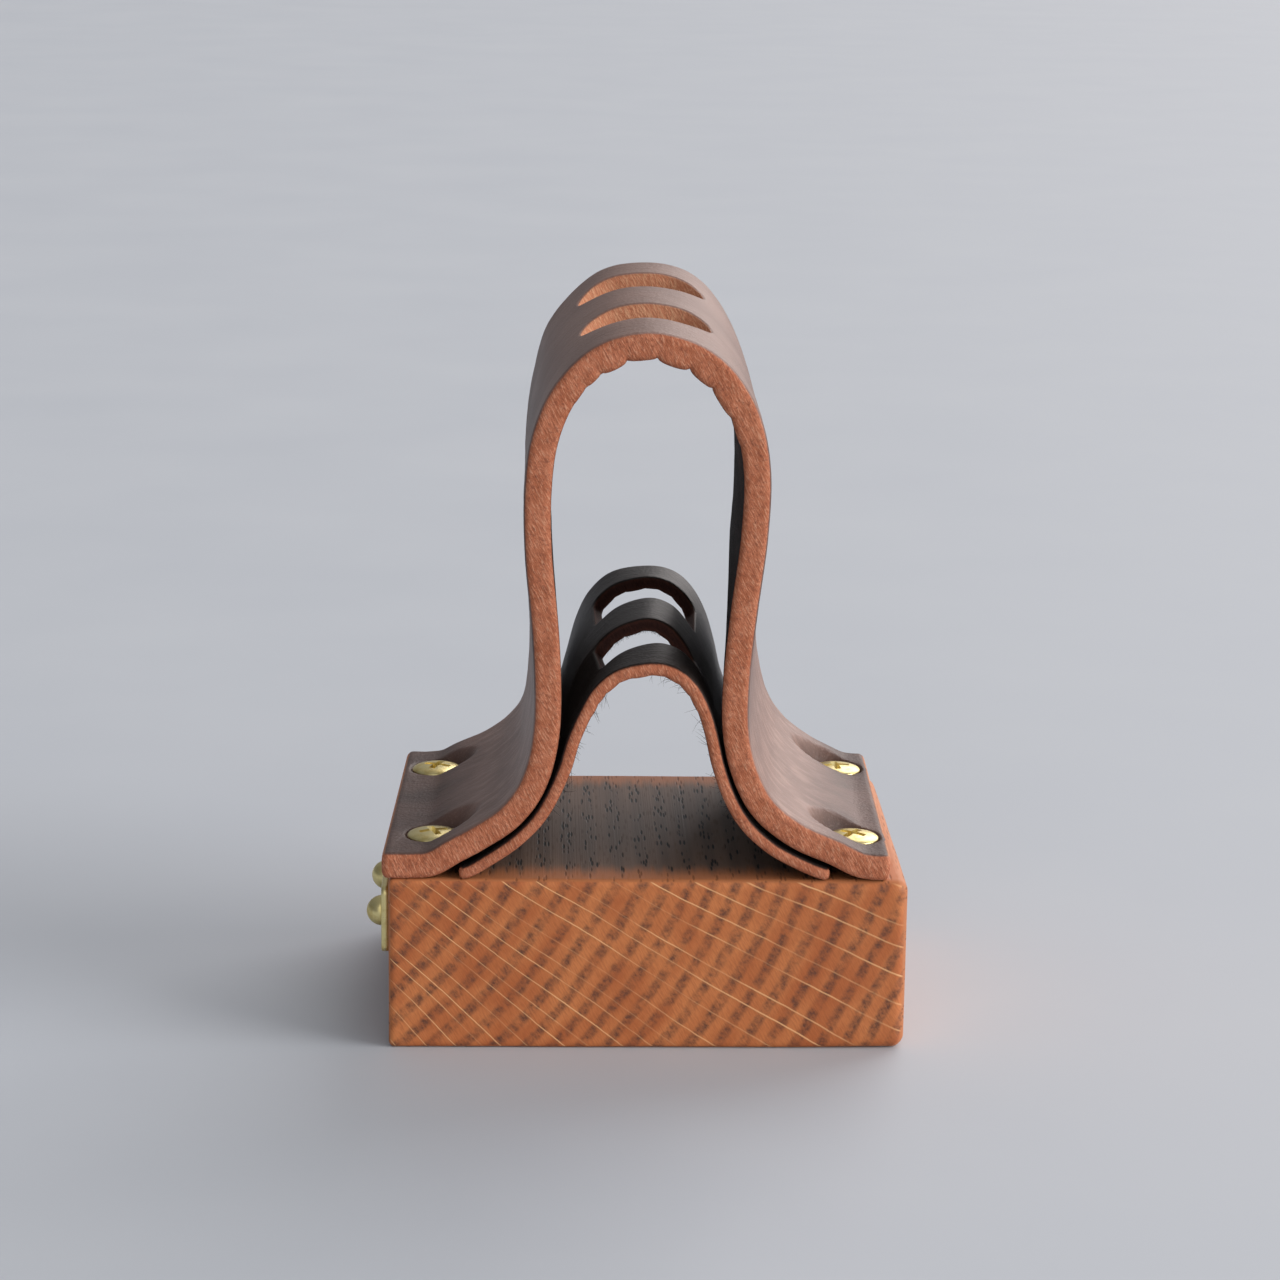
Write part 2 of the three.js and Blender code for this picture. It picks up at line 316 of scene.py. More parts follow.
def oak_finish():
    oak = Finish("oiled_oak")
    spot = oak.place()
    x, y, z = oak.split(spot)
    out_x, out_z = x - HEART[0], z - HEART[1]
    wander = oak.noise(oak.join(x * 0.05, y * 0.01, z * 0.05), 1.0, 1.0)
    radius = (out_x * out_x + out_z * out_z).math("SQRT") + wander * RING_WAVE
    angle = out_z.math("ARCTAN2", out_x)
    around = angle * RAY_RADIUS

    facing_y = oak.facing()[1]
    end = facing_y.math("ABSOLUTE").step(0.55, 0.85)

    year = (radius * (2 * math.pi / YEAR)).math("COSINE")
    band = year.step(-0.6, 0.9)
    speckled = oak.noise(oak.join(around * 1.1, radius * 0.6, y * 0.03), 1.0, 3.0, 0.6)
    broken = speckled.step(0.3, 0.66)
    smudge = oak.noise(oak.join(x * 2.0, y * 0.05, z * 2.0), 1.0, 2.0, 0.6).step(0.2, 0.75)
    dashes = band * (0.2 + broken * 0.8) * (0.4 + smudge * 0.6)
    fuzz = oak.scratches(x, z, -60, 0.9, 5.0)
    pores = 1 - oak.cells(oak.join(x * 2.3, y * 0.32, z * 2.3)).step(0.2, 0.42)
    long_pores = pores * band.step(-0.1, 0.5)

    drift = oak.noise(spot, 0.05, 1.0) * 0.6 + oak.noise(spot, 0.5, 2.0) * 0.06
    one_way = {"voronoi_dimensions": "1D", "feature": "DISTANCE_TO_EDGE"}
    spaced = {"W": around / RAY_SPACING + drift, "Scale": 1.0}
    rays = oak.add("ShaderNodeTexVoronoi", one_way, spaced, "Distance")
    strength = oak.noise(oak.join(around * 0.5, radius * 0.06, y * 0.02), 1.0, 1.0).step(0.36, 0.62)
    ray = (1 - rays.step(0.01, 0.05)) * (0.2 + strength * 0.8)

    tone = oak.noise(oak.join(around * 0.12, radius * 0.3, y * 0.02), 1.0, 2.0).step(0.3, 0.7)
    body = oak.mix(tone, colour(190, 106, 56), colour(214, 132, 76))
    body = oak.mix(fuzz.step(0.35, 0.75) * 0.4, body, colour(160, 84, 46))
    body = oak.mix(dashes * (0.7 + fuzz * 0.5), body, colour(96, 60, 45))
    body = oak.mix(ray * 0.85, body, colour(250, 194, 136))

    # The top face is given a darker grey-brown that is painted shade from the arches over it and a
    # painted grey reflection; only a band along its edges, and the left and right faces, keep the
    # oak's own orange.
    to_edge = (y.math("ABSOLUTE") - HALF_DEPTH).math("MAXIMUM", x.math("ABSOLUTE") - BLOCK[0] / 2)
    unshaded_band = (to_edge + broken * 2).step(-5.5, -0.5)
    side = oak.mix(tone, colour(112, 86, 70), colour(132, 102, 82))
    side = oak.mix(band * 0.4, side, colour(84, 62, 50))
    side = oak.mix(unshaded_band * 0.9, side, colour(196, 122, 76))
    side = oak.mix(long_pores * (1 - unshaded_band * 0.6), side, colour(20, 14, 11))
    base = oak.mix(end, side, body)

    rough = 0.5 + fuzz * 0.12 + pores * 0.1
    height = 1 - (long_pores * (1 - end) * 0.4 + dashes * end * 0.4) + ray * end * 0.3 + fuzz * 0.4
    return oak.surface(base, rough, oak.bump(height, 0.06), Specular_IOR_Level=0.45)


oak_oiled = oak_finish()
print(f"{oak_oiled.name}: years {YEAR} mm wide, rays {RAY_SPACING} mm apart")

# %% [markdown]
# ## The block
#
# The block is sawn, sanded and rounded over by hand, so its edges aren't all alike. It starts as
# a box cut into a fine grid, so that each edge can be rounded by its own amount and wander a
# little. A bevel modifier would make all of them equally crisp.

# %% Block
ROUND = 0.75               # radius of the sanded edges on the left
ROUND_MORE = 0.65          # how much rounder they are on the right


def round_over(points, half, radius):
    """Moves the outer points of a box onto rounded edges. The radius may differ at each point."""
    inner = np.clip(points, -(half - radius), half - radius)
    away = points - inner
    length = np.linalg.norm(away, axis=1)[:, None]
    reach = np.minimum(np.abs(away).max(axis=1)[:, None], radius)
    return inner + np.where(length > 1e-9, away / np.maximum(length, 1e-9) * reach, 0)


def box_grid(size, steps, margin):
    """The skin of a box, with grid lines close together in a margin along its edges."""
    lines = []
    for length, count in zip(size, steps):
        near = np.linspace(0, margin, 7)
        far = np.linspace(margin, length - margin, count)[1:-1]
        lines.append(np.concatenate([near, far, length - near[::-1]]) - length / 2)
    points, faces = [], []
    for axis in range(3):
        u, v = lines[(axis + 1) % 3], lines[(axis + 2) % 3]
        for sign in (-1, 1):
            start = len(points)
            for a in u:
                for b in v:
                    p = [0, 0, 0]
                    p[axis], p[(axis + 1) % 3], p[(axis + 2) % 3] = sign * size[axis] / 2, a, b
                    points.append(p)
            for i in range(len(u) - 1):
                for j in range(len(v) - 1):
                    k = start + i * len(v) + j
                    faces.append((k, k + len(v), k + len(v) + 1, k + 1))
    return points, faces


def oak_block():
    mesh = make_mesh("oak_block_sanded", *box_grid(BLOCK, (60, 40, 24), 1.8))
    points = points_of(mesh)
    half = np.array(BLOCK) / 2
    side = points[:, 0] / half[0]
    radius = ROUND + ROUND_MORE * np.clip(side, 0, 1) ** 4
    radius += 0.1 * ripple(points.sum(axis=1) * 0.15, 3)
    points = round_over(points, half, radius[:, None])
    points[:, 2] += half[2]
    move_points(mesh, points)
    return make_piece(mesh, "oak_block", oak_oiled)


oak_block()

# %% [markdown]
# ## Leather
#
# Veg-tanned leather is dyed dark on the hair side and left raw on its cut edges, which show a
# copper-coloured fibrous core; its flesh side is given a near-black, furry colour. Each leather
# piece keeps the coordinates that it had while it was a flat strip: along, across, and height
# through the thickness. The height says which of the three looks a point gets, so the colours
# meet exactly at the rounded edges and also inside the slots. Where the leather is bent the hair
# side is made paler, partly as worn dye and partly as painted sheen, the slot walls are painted
# lit on the outer arch and in painted shade on the inner one, and the knife leaves slanting
# strokes on the core.

# %% Leather finish
def leather_finish(name, thickness, dark_dye, light_dye, wear_and_sheen_colour, painted_light_slot_tone, painted_light_slot_streak):
    leather = Finish(name)
    strip = leather.add("ShaderNodeAttribute", {"attribute_name": "strip"}, (), "Vector")
    along, across, height = leather.split(strip)
    x, y, z = leather.split(leather.place())
    half = thickness / 2

    flutter = leather.noise(strip, 1.4, 3.0) * 0.16 - 0.08
    hair = (height + flutter * 0.6).step(half - 0.26, half - 0.06)
    flesh = 1 - (height - flutter * 0.3).step(-half, 0.07 - half)

    cloud = leather.noise(strip, 0.12, 3.0)
    grain = leather.cells(strip, 2.6)
    speck = leather.noise(strip, 6.0, 3.0, 0.65)
    crease = leather.noise(leather.join(along * 0.3, across * 0.7, 0.0), 1.0, 2.0).step(0.42, 0.7)
    # Paler at the crown and the feet: partly worn dye where the leather is stretched, partly
    # painted sheen.
    feet = (1 - z.step(32.0, 50.0)) * z.step(23.8, 27.5)
    bend_wear_and_sheen = z.step(64.0, 84.0) * 0.5 + feet * (0.5 + crease * 0.35)
    dyed = leather.mix(cloud.step(0.35, 0.7), dark_dye, light_dye)
    dyed = leather.mix(bend_wear_and_sheen * 0.75, dyed, wear_and_sheen_colour)
    dyed = leather.mix(speck.step(0.5, 0.8) * 0.3, dyed, wear_and_sheen_colour)

    hatch = leather.scratches(x, z, -62, 1.1, 6.0, y * 2.5)
    fibre = leather.noise(leather.join(along * 3.0, across * 3.0, height * 2.2), 1.0, 4.0, 0.65)
    patch = leather.noise(strip, 0.5, 2.0)
    # The slot walls are painted light: bright lit copper on the thick arch, dark painted shade on
    # the thin one.
    inside = 1 - across.math("ABSOLUTE").step(HALF_DEPTH - 1.0, HALF_DEPTH - 0.6)
    painted_light_slot_mix = leather.mix(hatch.step(0.42, 0.75) * 0.6, painted_light_slot_tone, painted_light_slot_streak)
    core = leather.mix(patch.step(0.3, 0.7), colour(182, 106, 72), colour(198, 122, 88))
    core = leather.mix(hatch.step(0.48, 0.74) * 0.6, core, colour(232, 174, 140))
    core = leather.mix((1 - hatch.step(0.25, 0.5)) * 0.5, core, colour(134, 72, 50))
    core = leather.mix(fibre.step(0.48, 0.72) * 0.6, core, colour(126, 68, 50))
    core = leather.mix(inside, core, painted_light_slot_mix)
    # A darker line along the rounded rims of the cut edge is painted shade.
    rim = (height.math("ABSOLUTE") + flutter * 0.5).step(half - 0.6, half - 0.05)
    core = leather.mix(rim * 0.2, core, colour(140, 84, 64))

    furry = leather.mix(fibre.step(0.4, 0.8), colour(30, 22, 21), colour(62, 44, 38))
    base = leather.mix(hair, leather.mix(flesh, core, furry), dyed)

    rough = 0.72 + flesh * 0.18 - hair * (0.2 + cloud * 0.1)
    relief = hair * (grain * 0.5 + speck * 0.35 + crease * 0.35)
    relief = relief + (1 - hair) * (hatch * 1.2 + fibre * 2.2)
    return leather.surface(base, rough, leather.bump(relief, 0.07), Specular_IOR_Level=0.35)


OUTER_THICKNESS = 3.1
INNER_THICKNESS = 1.5
# The worn colours at the bends are partly worn dye and partly painted sheen.
thick_leather = leather_finish(
    "thick_leather", OUTER_THICKNESS,
    dark_dye=colour(80, 60, 54), light_dye=colour(106, 80, 71), wear_and_sheen_colour=colour(182, 150, 138),
    # Painted light: the thick arch's slot walls are painted brightly lit.
    painted_light_slot_tone=colour(196, 130, 96), painted_light_slot_streak=colour(240, 192, 152),
)
thin_leather = leather_finish(
    "thin_leather", INNER_THICKNESS,
    dark_dye=colour(36, 30, 28), light_dye=colour(50, 41, 38), wear_and_sheen_colour=colour(76, 64, 60),
    # Painted shade: the thin arch's slot walls are painted dark.
    painted_light_slot_tone=colour(56, 25, 17), painted_light_slot_streak=colour(78, 40, 28),
)
print(f"{thick_leather.name}: {OUTER_THICKNESS} mm, {thin_leather.name}: {INNER_THICKNESS} mm")

# %% [markdown]
# ## Bending a strip
#
# A leather arch is a flat strip that is cut, punched and then bent. The script does the same:
# the strip is made flat, so the edges and the slots are easy to round over, and every point is
# then carried along a smooth line through the arch. The front and the back edge of the strip
# follow slightly different lines, because a hand-bent strip is never quite even. The slots
# weaken the thin crown, so halfway to the back it is bent more sharply, along a middle line.

# %% Bends
SAMPLES = 3001             # steps along a smooth line


def smooth_line(points):
    """Places and directions at even steps along a smooth line through the points."""
    p = np.array(points, float)
    last = len(p) - 1
    t = np.linspace(0, last, 60 * last + 1)
    i = np.minimum(t.astype(int), last - 1)
    w = (t - i)[:, None]
    p0, p1, p2, p3 = p[np.maximum(i - 1, 0)], p[i], p[i + 1], p[np.minimum(i + 2, last)]
    v1, v2 = (p2 - p0) / 2, (p3 - p1) / 2
    line = (2 * p1 - 2 * p2 + v1 + v2) * w**3 + (3 * p2 - 3 * p1 - 2 * v1 - v2) * w**2 + v1 * w + p1
    run = np.concatenate([[0], np.cumsum(np.linalg.norm(np.diff(line, axis=0), axis=1))])
    even = np.linspace(0, run[-1], SAMPLES)
    place = np.stack([np.interp(even, run, line[:, k]) for k in (0, 1)], axis=1)
    along = np.gradient(place, axis=0)
    return place, along / np.linalg.norm(along, axis=1)[:, None], run[-1]


class Arch:
    """A bent strip. Along runs from its left end, across from the middle, height from the core."""

    def __init__(self, front, back, thickness, middle=None):
        self.thickness = thickness
        self.front, self.front_way, self.length = smooth_line(front)
        self.back, self.back_way, _ = smooth_line(back)
        self.middle = smooth_line(middle)[:2] if middle else None
        self.even = np.linspace(0, self.length, SAMPLES)

    def beside(self, place, way, along, height):
        """x and z at a height from the core of one line, never inside the block."""
        x, z, way_x, way_z = (
            np.interp(along, self.even, table[:, k]) for table in (place, way) for k in (0, 1)
        )
        return np.stack([x - way_z * height, np.maximum(z + way_x * height, BLOCK[2])], axis=1)

    def bend(self, strip):
        """The points in space for strip coordinates."""
        along, across, height = strip.T
        share = (across / DEPTH + 0.5)[:, None]
        front = self.beside(self.front, self.front_way, along, height)
        back = self.beside(self.back, self.back_way, along, height)
        spot = front * (1 - share) + back * share
        if self.middle:
            bow = self.beside(*self.middle, along, height) - (front + back) / 2
            spot = spot + bow * 4 * share * (1 - share)
        return np.stack([spot[:, 0], across, np.maximum(spot[:, 1], BLOCK[2])], axis=1)

    def unbend(self, points):
        """The strip coordinates of points in space, on an arch without a middle line."""
        strip = np.empty_like(points)
        every, batch = 3, 2000
        tables = [t[::every] for t in (self.front, self.back, self.front_way, self.back_way)]
        for start in range(0, len(points), batch):
            rows = slice(start, start + batch)
            p = points[rows]
            share = (p[:, 1] / DEPTH + 0.5)[:, None, None]
            line = tables[0][None] * (1 - share) + tables[1][None] * share
            away = p[:, None, (0, 2)] - line
            best = (away**2).sum(axis=2).argmin(axis=1)
            row = np.arange(len(p))
            way = (tables[2][None] * (1 - share) + tables[3][None] * share)[row, best]
            gap = away[row, best]
            strip[rows, 0] = self.even[::every][best] + (gap * way).sum(axis=1)
            strip[rows, 1] = p[:, 1]
            strip[rows, 2] = gap[:, 1] * way[:, 0] - gap[:, 0] * way[:, 1]
        return strip

    def along_at(self, x, low, high):
        """How far along its front edge an arch is at x, between two shares of its length."""
        tries = np.linspace(low * self.length, high * self.length, 2000)
        strip = np.stack([tries, np.full(2000, -HALF_DEPTH), np.zeros(2000)], axis=1)
        return tries[np.abs(self.bend(strip)[:, 0] - x).argmin()]

# %% [markdown]
# ## The lines of the two arches
#
# Each line runs through the core of the leather from the left end over the crown to the right
# end, as x and z. The ends lie flat: the outer arch's on the block, the inner arch's under it.

# %% Lines
outer = Arch(
    front=[
        (-30.8, 21.95), (-27.8, 21.95), (-25.1, 22.2), (-22.6, 23.65), (-19.5, 25.4),
        (-16.2, 27.75), (-13.7, 31.1), (-12.3, 35.5), (-11.8, 41), (-12.1, 49), (-13, 58.5),
        (-13.1, 66), (-12.3, 72), (-10.1, 77), (-6.2, 80.9), (-1.1, 82.4), (3.9, 81.3), (7.6, 78.6),
        (10.3, 74), (11.5, 68), (11.3, 60.5), (10.3, 52), (9.6, 44), (9.65, 38),
        (10.8, 33), (13.1, 28.8), (17, 25.7), (21.4, 23.7), (24.6, 22.2), (27.8, 21.95),
    ],
    back=[
        (-29.4, 21.95), (-26.8, 21.95), (-24.5, 22.25), (-22.2, 23.4), (-18.6, 25), (-15.5, 27.3),
        (-13.3, 30.5), (-12.6, 35.5), (-12.5, 41), (-12.9, 49), (-13.1, 58.5), (-13, 66),
        (-12.2, 72), (-10.4, 78), (-5.6, 83.1), (-0.7, 84.4), (4.3, 83.6), (7.8, 80.3),
        (10.6, 74.5), (12.6, 67), (12.9, 59), (12.5, 51), (12.8, 43.5), (13.2, 37),
        (14.6, 31.3), (17, 27.6), (20.3, 24.9), (23.2, 23.3), (25.8, 22.15), (28.6, 21.95),
    ],
    thickness=OUTER_THICKNESS,
)
inner = Arch(
    front=[
        (-21.9, 21.16), (-20.8, 21.3), (-18.3, 22.8), (-15.5, 24.8), (-13.1, 27.2), (-11.4, 29.9),
        (-9.8, 33.6), (-8.9, 36.8), (-7.5, 40.2), (-6, 42.8), (-3.6, 44.7), (0, 45.45),
        (2.5, 44.9), (4.4, 43.4), (5.8, 41), (6.8, 38), (7.75, 34), (9.2, 30),
        (11.2, 26.8), (14.2, 24.1), (17.7, 22.2), (19.9, 21.3), (20.8, 21.16),
    ],
    back=[
        (-21.3, 21.16), (-20.1, 21.25), (-17.2, 22.6), (-14.2, 24.8), (-12.1, 27.3), (-10.8, 29.9),
        (-9.7, 32.8), (-8.6, 36.8), (-7.45, 41.1), (-5.9, 44.2), (-3.3, 46.4), (0.8, 47.05),
        (3.7, 46.5), (5.8, 44.7), (7.4, 41.8), (8.5, 38.2), (9.4, 34.4), (10.9, 30.9),
        (12.9, 27.7), (15.4, 25.2), (18.5, 22.9), (20.8, 21.35), (21.7, 21.16),
    ],
    middle=[
        (-21.6, 21.16), (-20.4, 21.28), (-17.7, 22.7), (-14.8, 24.8), (-12.6, 27.25), (-11.1, 29.9),
        (-9.7, 33.2), (-8.55, 36.9), (-6.95, 40.6), (-5.2, 43.2), (-2.8, 45.4), (0.4, 46.45),
        (2.7, 45.75), (4.3, 44), (5.8, 41.4), (7.15, 38.1), (8.35, 34.2), (9.9, 30.4),
        (11.9, 27.2), (14.7, 24.6), (18.1, 22.5), (20.4, 21.3), (21.3, 21.16),
    ],
    thickness=INNER_THICKNESS,
)
print(f"strip lengths: outer {outer.length:.1f} mm, inner {inner.length:.1f} mm")

# %% [markdown]
# ## The flat strip and its punches
#
# A strip's cut edges are slightly rounded by the edge tool. The strip is a skin through rounded
# rectangles that shrink just before each end. The punch for a slot is an oblong that widens
# above and below the leather's core, so that it leaves rounded rims behind. The outer arch's
# slots have round ends, the inner arch's are nearly rectangles.

# %% Flat strip
OUTER_SLOTS = {"length": 14.2, "width": 8.8, "corner": 4.4, "centres": (-9.0, 10.5)}
INNER_SLOTS = {"length": 13.8, "width": 10.2, "corner": 1.5, "centres": (-9.0, 11.0)}
STRIP_STEP = 0.36          # distance between lines along a strip
ACROSS = 80                # lines across a strip
THROUGH = 6                # lines through its thickness
CORNER_STEPS = 6           # steps round a corner of it


def quarter(radius, count):
    """How far a rounded corner stands back at each step from its edge: (distance, setback)."""
    angles = np.linspace(0, math.pi / 2, count)
    return radius * (1 - np.cos(angles)), radius * (1 - np.sin(angles))


def strip_ring(along, half_width, half_height, radius):
    """A rounded rectangle about the strip's core, in strip coordinates."""
    radius = min(radius, half_height * 0.98)
    ring = []
    for sign_y, sign_h in ((-1, 1), (1, 1), (1, -1), (-1, -1)):
        wall_next = sign_y * sign_h > 0
        for k in range(CORNER_STEPS + 1):
            turn = math.pi / 2 * k / CORNER_STEPS
            back_y, back_h = radius * (1 - math.cos(turn)), radius * (1 - math.sin(turn))
            if wall_next:
                back_y, back_h = back_h, back_y
            ring.append((sign_y * (half_width - back_y), sign_h * (half_height - back_h)))
        y, h = ring[-1]
        if wall_next:
            ring += [(y, level) for level in np.linspace(h, -h, THROUGH)[1:-1]]
        else:
            ring += [(place, h) for place in np.linspace(y, -y, ACROSS)[1:-1]]
    return [(along, y, h) for y, h in ring]


def flat_strip(arch, name, rim):
    """The strip before it is punched and bent, with its edges rounded by the radius rim."""
    inset, setback = quarter(rim, 6)
    middle = np.linspace(rim, arch.length - rim, int(arch.length / STRIP_STEP))
    stations = [(inset[k], setback[k]) for k in range(6)]
    stations += [(a, 0.0) for a in middle[1:-1]]
    stations += [(arch.length - inset[k], setback[k]) for k in reversed(range(6))]
    half = arch.thickness / 2
    rings = [strip_ring(along, HALF_DEPTH - back, half - back, rim) for along, back in stations]
    return make_mesh(name, *loft(rings))

# %% Punches
OUTLINE_STEP = 0.3         # distance between points on a punch's straight sides


def oblong(length, width, corner):
    """Centres and directions round an oblong, which lies a corner's radius away from them."""
    signs = [(1, 1), (-1, 1), (-1, -1), (1, -1)]
    anchors = [np.array([a * (length / 2 - corner), b * (width / 2 - corner)]) for a, b in signs]
    ring = []
    for k in range(4):
        here, there = anchors[k], anchors[(k + 1) % 4]
        ring += [(*here, turn) for turn in np.linspace(k, k + 1, 14) * math.pi / 2]
        steps = int(np.linalg.norm(there - here) / OUTLINE_STEP) + 1
        for share in np.linspace(0, 1, steps + 1)[1:-1]:
            ring.append((*(here + (there - here) * share), (k + 1) * math.pi / 2))
    return ring


def slot_punch(arch, middle, centre, slots, rim):
    """A punch for one slot, which leaves rims rounded by the radius rim."""
    half = arch.thickness / 2
    inset, setback = quarter(rim, 6)
    levels = [(-half - 1, rim + 0.4), *zip(inset - half, setback)]
    levels += [(-h, grow) for h, grow in reversed(levels)]
    outline = oblong(slots["length"], slots["width"], slots["corner"])
    rings = []
    for height, grow in levels:
        reach = slots["corner"] + grow
        rings.append([
            (middle + x + reach * math.cos(turn), centre + y + reach * math.sin(turn), height)
            for x, y, turn in outline
        ])
    return make_mesh("punch", *loft(rings))


def punched_strip(arch, name, slots, rim, slot_rim):
    """A flat strip with its slots punched through it where the crown will be."""
    crown = arch.front[:, 1].argmax() / (SAMPLES - 1) * arch.length
    punches = [slot_punch(arch, crown, centre, slots, slot_rim) for centre in slots["centres"]]
    mesh = cut(flat_strip(arch, name, rim), *punches)
    print(f"{name}: slots {crown:.1f} mm along the strip")
    return mesh

# %% [markdown]
# ## The outer arch
#
# The feet are countersunk for the screws after bending, straight down. Where thick leather is
# bent tightly its flesh side has nowhere to go and folds into small lumps with creases between
# them, seen from the front as a scalloped edge under the crown. The strip's height is changed
# there, with the creases at uneven distances, and each crease also notches the edge a little.
# The screws have pressed the leather down round their heads.

# %% Outer arch
SCREWS = {
    "front_left": (-25.0, -14.3), "front_right": (24.0, -14.6),
    "back_left": (-25.4, 14.2), "back_right": (24.4, 15.0),
}
RIM = 23.3                 # height of the screw heads' rims
HEAD = 3.1                 # radius of the screw heads
CREASES = (-10.4, -8.8, -6.95, -3.6, 0.3, 4.4, 7.5, 9.9, 11.0)   # x of the creases in the crown
LUMPS = (0.15, 0.3, 0.6, 0.4, 0.65, 0.6, 0.45, 0.2)              # depths between them
HOLLOW = 0.25              # depth of the wide hollow that they lie in
NOTCH, NOTCH_WIDTH = 0.22, 0.35                                  # of a crease, at the edge
PRESS_REACH = 9.0          # how far from a screw's middle the leather can be pressed down
PRESS_SOFTNESS = 0.15      # how softly the pressed leather meets the rest


def store_strip(mesh, strip):
    """Keeps the strip coordinates on a mesh for its finish."""
    data = mesh.attributes.new("strip", "FLOAT_VECTOR", "POINT").data
    data.foreach_set("vector", np.asarray(strip, np.float32).ravel())


def lumps(along, across, creases, depths):
    """Rounded folds across the strip between creases: 0 in a crease, deepest halfway between."""
    along = along + 0.3 * ripple(across * 0.35, 20)
    total = np.zeros(len(along))
    for start, end, depth in zip(creases, creases[1:], depths):
        t = np.clip((along - start) / (end - start), 0, 1)
        total += depth * np.sqrt(4 * t * (1 - t))
    return total


def countersink(x, y):
    """The space that a screw takes up in the leather, a little larger than the screw."""
    sink = turn_on_lathe("sink", [
        (1.75, BLOCK[2] - 1), (1.75, RIM - 1.5), (HEAD + 0.12, RIM - 0.12),
        (HEAD + 0.2, RIM + 0.05), (HEAD + 0.5, RIM + 0.3), (HEAD + 0.7, RIM + 7),
    ])
    move_points(sink, points_of(sink) + (x, y, 0))
    return sink


def fold(strip):
    """The outer strip's coordinates with its lumps, notched edges and slight waves."""
    along, across, height = strip.T.copy()
    under = smoothstep((0.2 - height) / (OUTER_THICKNESS / 2 + 0.2))
    creases = [outer.along_at(x, 0.35, 0.65) for x in CREASES]
    hollow = lumps(along, across, (creases[0], creases[6]), [HOLLOW])
    height -= under * (lumps(along, across, creases, LUMPS) - hollow)
    edge = smoothstep((np.abs(across) - HALF_DEPTH + 1.5) / 1.5)
    groove = sum(np.exp(-(((along - line) / NOTCH_WIDTH) ** 2)) for line in creases)
    across -= NOTCH * edge * under * groove * np.sign(across)
    across += 0.05 * edge * ripple(along * 1.3 + height, 7)
    height += 0.04 * ripple(along * 0.7, 8) * ripple(across * 0.3, 9)
    return np.stack([along, across, height], axis=1)


def press_down(points, height, near):
    """Lowers the hair side round the screws to a bowl that rises away from their heads."""
    rise = np.maximum(near - HEAD - 0.1, 0)
    above = points[:, 2] - (RIM + 0.05 + 0.8 * rise + 0.4 * rise**2)
    press = PRESS_SOFTNESS * np.log1p(np.exp(np.clip(above, -6, 6) / PRESS_SOFTNESS))
    points[:, 2] -= np.where((height > 0) & (near < PRESS_REACH), press, 0)


def outer_arch():
    mesh = punched_strip(outer, "outer_arch_leather", OUTER_SLOTS, rim=0.75, slot_rim=0.3)
    move_points(mesh, outer.bend(points_of(mesh)))
    mesh = cut(mesh, *[countersink(x, y) for x, y in SCREWS.values()])
    points = points_of(mesh)
    strip = outer.unbend(points)
    gaps = [np.hypot(points[:, 0] - x, points[:, 1] - y) for x, y in SCREWS.values()]
    near = np.min(gaps, axis=0)
    shown = strip.copy()
    shown[(near < HEAD + 0.8) & (points[:, 2] > RIM - 0.4), 2] = OUTER_THICKNESS / 2
    store_strip(mesh, shown)
    folded = fold(strip)
    points = outer.bend(folded)
    press_down(points, folded[:, 2], near)
    move_points(mesh, points)
    return make_piece(mesh, "outer_arch", thick_leather)


outer_arch()

# %% [markdown]
# ## The inner arch and its loose fibres
#
# The thin arch is made the same way. Its flesh side was never sealed, so single fibres stick out
# of it and out of the front slot's far rim. Each is a hair-thin tapered tube of a few points, all
# of them joined with the leather that they grow from. The narrow strips beside the front slot
# have slid sideways a little, one to each side.

# %% Loose fibres
FIBRES = 180
FIBRE_RADIUS = 0.025


def fibre_tube(points, radius):
    """Rings of three points along a fibre that gets thinner to its tip."""
    rings = []
    for k, (x, y, z) in enumerate(points):
        r = radius * (1 - 0.8 * k / (len(points) - 1))
        rings.append([
            (x + r * math.cos(turn), y + r * lift, z + r * math.sin(turn))
            for turn, lift in ((0, 0.6), (2.1, 0), (4.2, 0))
        ])
    return loft(rings)


def loose_fibres(arch, count, seed):
    """Points, faces and strip coordinates of fibres: half near the front edge, half in its slot."""
    random = np.random.default_rng(seed)
    slot_rim = INNER_SLOTS["centres"][0] + INNER_SLOTS["width"] / 2
    points, faces, strips = [], [], []
    for k in range(count):
        share = random.choice([random.uniform(0.16, 0.42), random.uniform(0.5, 0.84)])
        across = -HALF_DEPTH + abs(random.normal(0.3, 1.2))
        reach = abs(random.normal(0.5, 0.45)) + 0.15
        if k % 2:
            share = random.uniform(0.42, 0.54)
            across = slot_rim + abs(random.normal(0.0, 0.4)) + 0.25
            reach = abs(random.normal(0.25, 0.15)) + 0.1
        start = np.array([share * arch.length, across, -arch.thickness / 2])
        lean = random.normal(-0.5, 0.6)
        curl = random.normal(0, 0.5)
        steps = np.linspace(0, 1, 6)[:, None]
        way = np.array([lean, -0.1, -1.0]) * reach
        line = start + steps * way + steps**2 * np.array([curl, 0, 0]) * reach
        line[:, 1] = np.maximum(line[:, 1], -HALF_DEPTH - 0.2)
        tube, skin = fibre_tube(arch.bend(line), FIBRE_RADIUS)
        faces += [[i + len(points) for i in face] for face in skin]
        points += tube
        strips += [start] * len(tube)
    return points, faces, strips

# %% Inner arch
INNER_CREASES = (0.36, 0.385, 0.41, 0.44, 0.465, 0.5, 0.53, 0.56, 0.59, 0.62)   # shares of length
INNER_LUMPS = (0.1, 0.14, 0.18, 0.1, 0.2, 0.12, 0.18, 0.14, 0.1)
SWAY_Y = (-22.5, -14.1, -9, -3.9, 6, 22.5)     # the front slot is from -14.1 to -3.9
SWAY_X = (0, 0.45, 0, -0.5, -0.1, 0)


def sway(points):
    """How far the strips beside the front slot have slid sideways, most at the crown."""
    return np.interp(points[:, 1], SWAY_Y, SWAY_X) * smoothstep((points[:, 2] - 34) / 8)


